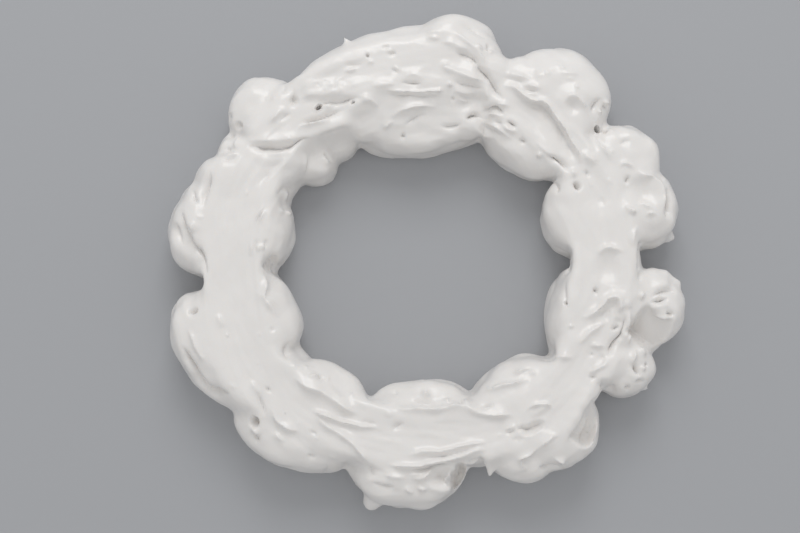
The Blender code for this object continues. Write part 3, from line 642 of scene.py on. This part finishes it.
def add_tip(foam, tip, beads=8):
    """Add a tip pulled out of the foam, as a row of shrinking beads."""
    start = Vector((*place(*tip.foot[:2]), tip.foot[2]))
    end = Vector((*place(*tip.tip[:2]), tip.tip[2]))
    for bead in range(beads + 1):
        share = bead / beads
        middle = start.lerp(end, share)
        radius = tip.thick + (tip.thin - tip.thick) * share ** TIP_HOLLOW
        add_lump(foam, *middle, 0.0, (radius, radius, radius), TIP_DETAIL)


def lay_foam():
    """Lay the core, the dollops, the strokes' foam and the tips."""
    foam = bmesh.new()
    core = [(bearing, CORE_DISTANCE) for bearing in range(0, 361, 30)]
    add_bed(foam, core, CORE_HALF, CORE_HIGH, CORE_THICK)
    for dollop in OUTER_DOLLOPS:
        add_dollop(foam, OUTER_ROW, dollop)
    for dollop in INNER_DOLLOPS:
        add_dollop(foam, INNER_ROW, dollop)
    for stroke in STROKES:
        add_bed(foam, stroke.path, stroke.half * BED_SHARE, stroke.level, BED_HALF)
    for tip in TIPS:
        add_tip(foam, tip)
    mesh = bpy.data.meshes.new("wreath")
    foam.to_mesh(mesh)
    foam.free()
    return mesh


# ---- working the skin ----------------------------------------------------------------

class Skin:
    """The foam's skin as arrays: where each point is and which way it faces."""

    def __init__(self, mesh):
        count = len(mesh.vertices)
        self.mesh = mesh
        self.spots = np.empty(count * 3)
        self.facing = np.empty(count * 3)
        mesh.vertices.foreach_get("co", self.spots)
        mesh.vertices.foreach_get("normal", self.facing)
        self.spots = self.spots.reshape(-1, 3)
        self.facing = self.facing.reshape(-1, 3)
        self.all = np.arange(count)
        self.upward = 1.0 - fade(self.facing[:, 2], UNDERSIDE, TOPSIDE)
        self.uneven = ripple(self.spots, RIDGE_UNEVEN_WIDE, 1.3)
        # hand work wanders a little, so paths are met through a warped grid
        self.flat = self.spots[:, :2] + WANDER * np.stack(
            (ripple(self.spots, WANDER_WIDE, 3.1), ripple(self.spots, WANDER_WIDE, 7.7)), axis=1)

    def near(self, curve, reach):
        """Which points lie within reach of a curve's box."""
        low = curve.min(0) - reach
        high = curve.max(0) + reach
        return np.flatnonzero(((self.flat > low) & (self.flat < high)).all(1))

    def follow(self, curve, rows):
        """Millimetres to the nearer end of a curve, and signed distance, left positive."""
        starts = curve[:-1]
        steps = curve[1:] - starts
        lengths = np.hypot(steps[:, 0], steps[:, 1])
        offset = self.flat[rows, None] - starts
        share = np.clip((offset * steps).sum(2) / lengths ** 2, 0.0, 1.0)
        gap = offset - share[..., None] * steps
        away = np.hypot(gap[..., 0], gap[..., 1])
        nearest = away.argmin(1)
        each = np.arange(len(rows))
        run = np.concatenate(((0.0,), np.cumsum(lengths)))
        along = run[nearest] + share[each, nearest] * lengths[nearest]
        step = steps[nearest]
        turn = gap[each, nearest]
        left = np.where(step[:, 0] * turn[:, 1] - step[:, 1] * turn[:, 0] >= 0.0, 1.0, -1.0)
        return np.minimum(along, run[-1] - along), left * away[each, nearest], run[-1]

    def push(self, rows, amount):
        """Move points out along their facing, or in where the amount is negative."""
        self.spots[rows] += self.facing[rows] * amount[:, None]

    def spread(self, stroke, streaks):
        """Draw the spatula along its stroke and level the foam under it."""
        curve = smooth_path(stroke.path)
        rows = self.near(curve, STROKE_REACH * stroke.half)
        end, side, length = self.follow(curve, rows)
        across = side / stroke.half
        weight = (fade(np.abs(across), STROKE_FLAT, STROKE_EDGE)
                  * (1.0 - fade(end, 0.0, STROKE_END * length)) * self.upward[rows])
        target = stroke.level + stroke.tilt * 0.5 * across - stroke.dish * fade(np.abs(across), 0.0, 1.0)
        bristles = np.stack((side, STREAK_STRETCH * end, np.zeros(len(rows))), axis=1)
        target += streaks * (ripple(bristles, STREAK_WIDE) + 0.6 * ripple(bristles, STREAK_FINE, 5.0))
        self.spots[rows, 2] += weight * (target - self.spots[rows, 2])

    def raise_ridge(self, ridge, relief):
        """Pull up a ridge, or press in a fold."""
        curve = smooth_path(ridge.path)
        rows = self.near(curve, RIDGE_REACH * max(ridge.left, ridge.right))
        end, side, length = self.follow(curve, rows)
        slope = np.where(side > 0.0, ridge.left, ridge.right)
        taper = min(RIDGE_END, RIDGE_END_SHARE * length)
        shape = np.exp(-(np.abs(side) / slope) ** CREST) * (1.0 - fade(end, 0.0, taper))
        uneven = 1.0 + RIDGE_UNEVEN * self.uneven[rows]
        rise = ridge.rise * (1.0 + LONG_GAIN * min(1.0, length / LONG))
        self.push(rows, relief * rise * shape * uneven * self.upward[rows])

    def oval(self, mark):
        """Points near an oval mark, and how far out each lies, 1 at the oval's edge."""
        middle = np.array(place(mark.bearing, mark.distance))
        rows = self.near(np.array((middle, middle)), OVAL_REACH * max(mark.long, mark.wide))
        turn = math.radians(mark.turn - mark.bearing)
        offset = self.flat[rows] - middle
        along = (offset[:, 0] * math.cos(turn) + offset[:, 1] * math.sin(turn)) / mark.long
        across = (offset[:, 1] * math.cos(turn) - offset[:, 0] * math.sin(turn)) / mark.wide
        return rows, np.hypot(along, across)

    def scoop_out(self, scoop, relief):
        """Press an oval hollow, or leave a knob."""
        rows, away = self.oval(scoop)
        rim = np.exp(-((away - 1.0) / RIM_THICK) ** 2)
        depth = scoop.depth if scoop.depth > 0.0 else KNOB_SHARE * scoop.depth
        self.push(rows, relief * (scoop.rim * rim - depth * fade(away, 0.0, 1.1)) * self.upward[rows])

    def roughen(self, patch, relief):
        """Fill an oval of the skin with small bubbles."""
        rows, away = self.oval(patch)
        spots = self.spots[rows]
        bubbles = ripple(spots, BUBBLE) + 0.7 * ripple(spots, 2.2 * BUBBLE, 4.0)
        self.push(rows, BUBBLE_SHARE * relief * patch.rough * bubbles * fade(away, 0.6, 1.1))

    def comb(self, depth):
        """Leave long low folds that run around the ring, as a blade does."""
        outward = np.hypot(self.spots[:, 0], self.spots[:, 1])
        around = self.spots[:, :2] * (FOLD_STRETCH * CORE_DISTANCE / outward)[:, None]
        grain = np.column_stack((around, outward))
        broad = np.abs(ripple(grain, FOLD_WIDE))
        fine = np.abs(ripple(grain, FOLD_FINE * FOLD_WIDE, 4.0))
        reach = FOLD_SIDES + (1.0 - FOLD_SIDES) * self.upward
        self.push(self.all, depth * (0.5 - 2.0 * broad - fine) * reach)

    def wave(self):
        """Lay soft waves over the whole skin."""
        self.push(self.all, sum(wave.high * ripple(self.spots, wave.wide, wave.seed) for wave in WAVES))

    def hold_down(self):
        """Hold down what stands above the ceiling, and keep the foot on the tray."""
        height = self.spots[:, 2]
        height -= (1.0 - CEILING_GIVE) * np.maximum(height - CEILING, 0.0)
        np.maximum(height, 0.0, out=height)

    def settle(self):
        """Write the points back to the mesh."""
        self.mesh.vertices.foreach_set("co", self.spots.ravel())
        self.mesh.update()


def join_skin(thing, grid, relaxing):
    """Join everything in the object's mesh into one closed and relaxed skin."""
    remesh = thing.modifiers.new("join", "REMESH")
    remesh.mode = "VOXEL"
    remesh.voxel_size = grid
    smooth = thing.modifiers.new("relax", "SMOOTH")
    smooth.factor = 0.5
    smooth.iterations = relaxing
    bake(thing)


def bake(thing):
    """Apply the object's modifiers to its mesh."""
    seen = thing.evaluated_get(bpy.context.evaluated_depsgraph_get())
    old = thing.data
    thing.data = bpy.data.meshes.new_from_object(seen)
    thing.modifiers.clear()
    bpy.data.meshes.remove(old)


def work_skin(thing, settings):
    """Shape the skin, first the broad strokes and then the fine work."""
    join_skin(thing, ROUGH_GRID, ROUGH_RELAXING)
    skin = Skin(thing.data)
    for stroke in STROKES + FACETS + PADS:
        skin.spread(stroke, settings.streaks)
    skin.settle()
    join_skin(thing, settings.fine_grid, FINE_RELAXING)
    skin = Skin(thing.data)
    skin.comb(settings.folds)
    for ridge in RIDGES:
        skin.raise_ridge(ridge, settings.relief)
    for scoop in SCOOPS:
        skin.scoop_out(scoop, settings.relief)
    for patch in PATCHES:
        skin.roughen(patch, settings.relief)
    skin.wave()
    skin.hold_down()
    skin.settle()


def set_down(thing):
    """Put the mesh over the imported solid, in metres."""
    low, high = (np.array(corner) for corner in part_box(NODE))
    spots = np.empty(len(thing.data.vertices) * 3)
    thing.data.vertices.foreach_get("co", spots)
    spots = spots.reshape(-1, 3) * MM
    shift = (low + high - spots.min(0) - spots.max(0)) / 2
    thing.data.transform(Matrix.Translation((shift[0], shift[1], low[2])) @ Matrix.Scale(MM, 4))


def thin_skin(thing, faces):
    """Keep large faces where the skin is smooth and small ones on its ridges."""
    thin = thing.modifiers.new("thin", "DECIMATE")
    thin.ratio = min(1.0, faces / (2 * len(thing.data.polygons)))
    bake(thing)


# ---- materials --------------------------------------------------------------------------

class Socket:
    """An output socket on which numbers can be worked out."""

    def __init__(self, shop, socket):
        self.shop = shop
        self.socket = socket

    def _math(self, operation, first, second):
        return self.shop.node("ShaderNodeMath", {"operation": operation}, {0: first, 1: second})

    def __add__(self, other):
        return self._math("ADD", self, other)

    def __radd__(self, other):
        return self._math("ADD", other, self)

    def __mul__(self, other):
        return self._math("MULTIPLY", self, other)

    def __rmul__(self, other):
        return self._math("MULTIPLY", other, self)


class Shop:
    """One material's nodes."""

    def __init__(self, name):
        self.material = bpy.data.materials.new(name)
        self.material.use_nodes = True
        self.tree = self.material.node_tree
        self.tree.nodes.clear()

    def node(self, kind, settings=None, inputs=None, output=0):
        """Add a node: its settings first, then the values or links of its sockets."""
        node = self.tree.nodes.new(kind)
        for name, value in (settings or {}).items():
            setattr(node, name, value)
        for name, value in (inputs or {}).items():
            if isinstance(value, Socket):
                self.tree.links.new(value.socket, node.inputs[name])
            else:
                node.inputs[name].default_value = value
        return Socket(self, node.outputs[output]) if node.outputs else node

    def finish(self, shader):
        self.node("ShaderNodeOutputMaterial", {}, {"Surface": shader})
        return self.material


def meringue(settings):
    """Wet, glossy egg-white foam with fine bubbles."""
    shop = Shop("meringue")
    coordinates = shop.node("ShaderNodeTexCoord", {}, {}, "Object")
    fine = shop.node("ShaderNodeTexNoise", {}, {"Vector": coordinates, "Scale": 900.0, "Detail": 3.0})
    soft = shop.node("ShaderNodeTexNoise", {}, {"Vector": coordinates, "Scale": 120.0, "Detail": 2.0})
    bump = shop.node("ShaderNodeBump", {}, {
        "Strength": 0.2, "Distance": 0.0002, "Height": fine * 0.5 + soft})
    shader = shop.node("ShaderNodeBsdfPrincipled", {"subsurface_method": "RANDOM_WALK"}, {
        "Base Color": (*settings.foam_color, 1.0),
        "Roughness": 0.28,
        "Coat Weight": 0.25,
        "Coat Roughness": 0.14,
        "Subsurface Weight": 0.2,
        "Subsurface Radius": (1.0, 0.9, 0.8),
        "Subsurface Scale": 0.0012,
        "Specular IOR Level": 0.5,
        "IOR": 1.4,
        "Normal": bump,
    })
    return shop.finish(shader)


def plain(name, color, roughness):
    """One flat studio colour."""
    shop = Shop(name)
    shader = shop.node("ShaderNodeBsdfPrincipled", {}, {"Base Color": (*color, 1.0), "Roughness": roughness})
    return shop.finish(shader)


# ---- the add-on ----------------------------------------------------------------------------

class WreathSettings(bpy.types.PropertyGroup):
    """Sizes and colours of the wreath and its studio."""

    fine_grid: FloatProperty(
        name="Fine Grid", description="Cell of the grid that carries the ridges, in millimetres",
        default=0.65, min=0.5, max=3.0)
    faces: IntProperty(
        name="Faces", description="Triangles kept in the wreath", default=190000, min=20000, max=198000)
    relief: FloatProperty(
        name="Relief", description="Height of ridges and hollows against the usual", default=1.15,
        min=0.0, max=2.0, subtype="FACTOR")
    streaks: FloatProperty(
        name="Streaks", description="Depth of the fine lines that the blade leaves, in millimetres",
        default=0.15, min=0.0, max=1.0)
    folds: FloatProperty(
        name="Folds", description="Height of the long low folds, in millimetres", default=0.5,
        min=0.0, max=2.0)
    foam_color: FloatVectorProperty(
        name="Foam", description="Colour of the foam", subtype="COLOR", size=3,
        default=(0.86, 0.84, 0.82), min=0.0, max=1.0)
    floor_color: FloatVectorProperty(
        name="Floor", description="Colour of the studio floor", subtype="COLOR", size=3,
        default=(0.42, 0.43, 0.45), min=0.0, max=1.0)
    key_power: FloatProperty(
        name="Window Light", description="Power of the large soft light", default=6.0, min=0.0,
        unit="POWER")
    sky: FloatProperty(
        name="Room Light", description="Strength of the light from all around", default=0.64, min=0.0)


class WREATH_OT_foam(bpy.types.Operator):
    """Lay, join and work the foam of the whole wreath"""

    bl_idname = "wreath.foam"
    bl_label = "Meringue Wreath"
    bl_options = {"REGISTER", "UNDO"}

    def execute(self, context):
        settings = context.scene.wreath
        wreath = bpy.data.objects.new("wreath", lay_foam())
        context.scene.collection.objects.link(wreath)
        work_skin(wreath, settings)
        set_down(wreath)
        thin_skin(wreath, settings.faces)
        wreath.data.shade_smooth()
        wreath.data.materials.clear()
        wreath.data.materials.append(meringue(settings))
        if len(wreath.data.polygons) < FEWEST_FACES:
            raise RuntimeError("the wreath's skin has come apart")
        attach(wreath, "root")
        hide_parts(NODE)
        return {"FINISHED"}


CAMERA_AWAY = 0.8       # from the camera to the tray, metres
CAMERA_LEAN = 5.6       # degrees that the camera leans from straight down
CAMERA_AIM = (-0.0127, -0.0008)     # where it looks on the tray, metres
CAMERA_LENS = 69.2      # millimetres
CAMERA_SENSOR = 36.0    # millimetres
FLOOR_HALF = 3.0        # half the floor's side, metres
WINDOW_SPOT = (0.0, 1.0, 1.0)       # behind the wreath and above it
WINDOW_SIZE = 0.75      # side of the soft light, metres


class WREATH_OT_studio(bpy.types.Operator):
    """Set up a plain floor, a soft window light and the camera"""

    bl_idname = "wreath.studio"
    bl_label = "Studio"
    bl_options = {"REGISTER", "UNDO"}

    def execute(self, context):
        settings = context.scene.wreath
        grid = bmesh.new()
        bmesh.ops.create_grid(grid, x_segments=1, y_segments=1, size=FLOOR_HALF)
        mesh = bpy.data.meshes.new("floor")
        grid.to_mesh(mesh)
        grid.free()
        floor = bpy.data.objects.new("floor", mesh)
        mesh.materials.append(plain("floor", settings.floor_color, 0.9))
        context.scene.collection.objects.link(floor)
        hang_window(context, settings.key_power)
        world = bpy.data.worlds.new("room")
        world.use_nodes = True
        sky = world.node_tree.nodes["Background"]
        sky.inputs["Color"].default_value = (1.0, 1.0, 1.0, 1.0)
        sky.inputs["Strength"].default_value = settings.sky
        context.scene.world = world
        lean = math.radians(CAMERA_LEAN)
        camera = bpy.data.cameras.new("camera")
        camera.lens = CAMERA_LENS
        camera.sensor_width = CAMERA_SENSOR
        camera.dof.use_dof = False
        eye = bpy.data.objects.new("camera", camera)
        eye.location = (CAMERA_AIM[0], CAMERA_AIM[1] - CAMERA_AWAY * math.sin(lean),
                        CAMERA_AWAY * math.cos(lean))
        eye.rotation_euler = (lean, 0.0, 0.0)
        context.scene.collection.objects.link(eye)
        context.scene.camera = eye
        context.scene.view_settings.view_transform = "Standard"
        return {"FINISHED"}


def hang_window(context, power):
    """Hang the soft square light and turn it to the wreath."""
    light = bpy.data.lights.new("window", "AREA")
    light.size = WINDOW_SIZE
    light.energy = power
    lamp = bpy.data.objects.new("window", light)
    lamp.location = WINDOW_SPOT
    lamp.rotation_euler = Vector(WINDOW_SPOT).to_track_quat("Z", "Y").to_euler()
    context.scene.collection.objects.link(lamp)


class WREATH_PT_panel(bpy.types.Panel):
    """The wreath's sizes, colours and steps"""

    bl_label = "Meringue Wreath"
    bl_idname = "WREATH_PT_panel"
    bl_space_type = "VIEW_3D"
    bl_region_type = "UI"
    bl_category = "Meringue"

    def draw(self, context):
        settings = context.scene.wreath
        for name in WreathSettings.__annotations__:
            self.layout.prop(settings, name)
        for step in STEPS:
            self.layout.operator(step.bl_idname)


STEPS = (WREATH_OT_foam, WREATH_OT_studio)
CLASSES = (WreathSettings, *STEPS, WREATH_PT_panel)


def register():
    for kind in CLASSES:
        bpy.utils.register_class(kind)
    bpy.types.Scene.wreath = PointerProperty(type=WreathSettings)


def unregister():
    del bpy.types.Scene.wreath
    for kind in reversed(CLASSES):
        bpy.utils.unregister_class(kind)


def main():
    register()
    bpy.ops.wreath.foam()
    bpy.ops.wreath.studio()


if __name__ == "__main__":
    main()
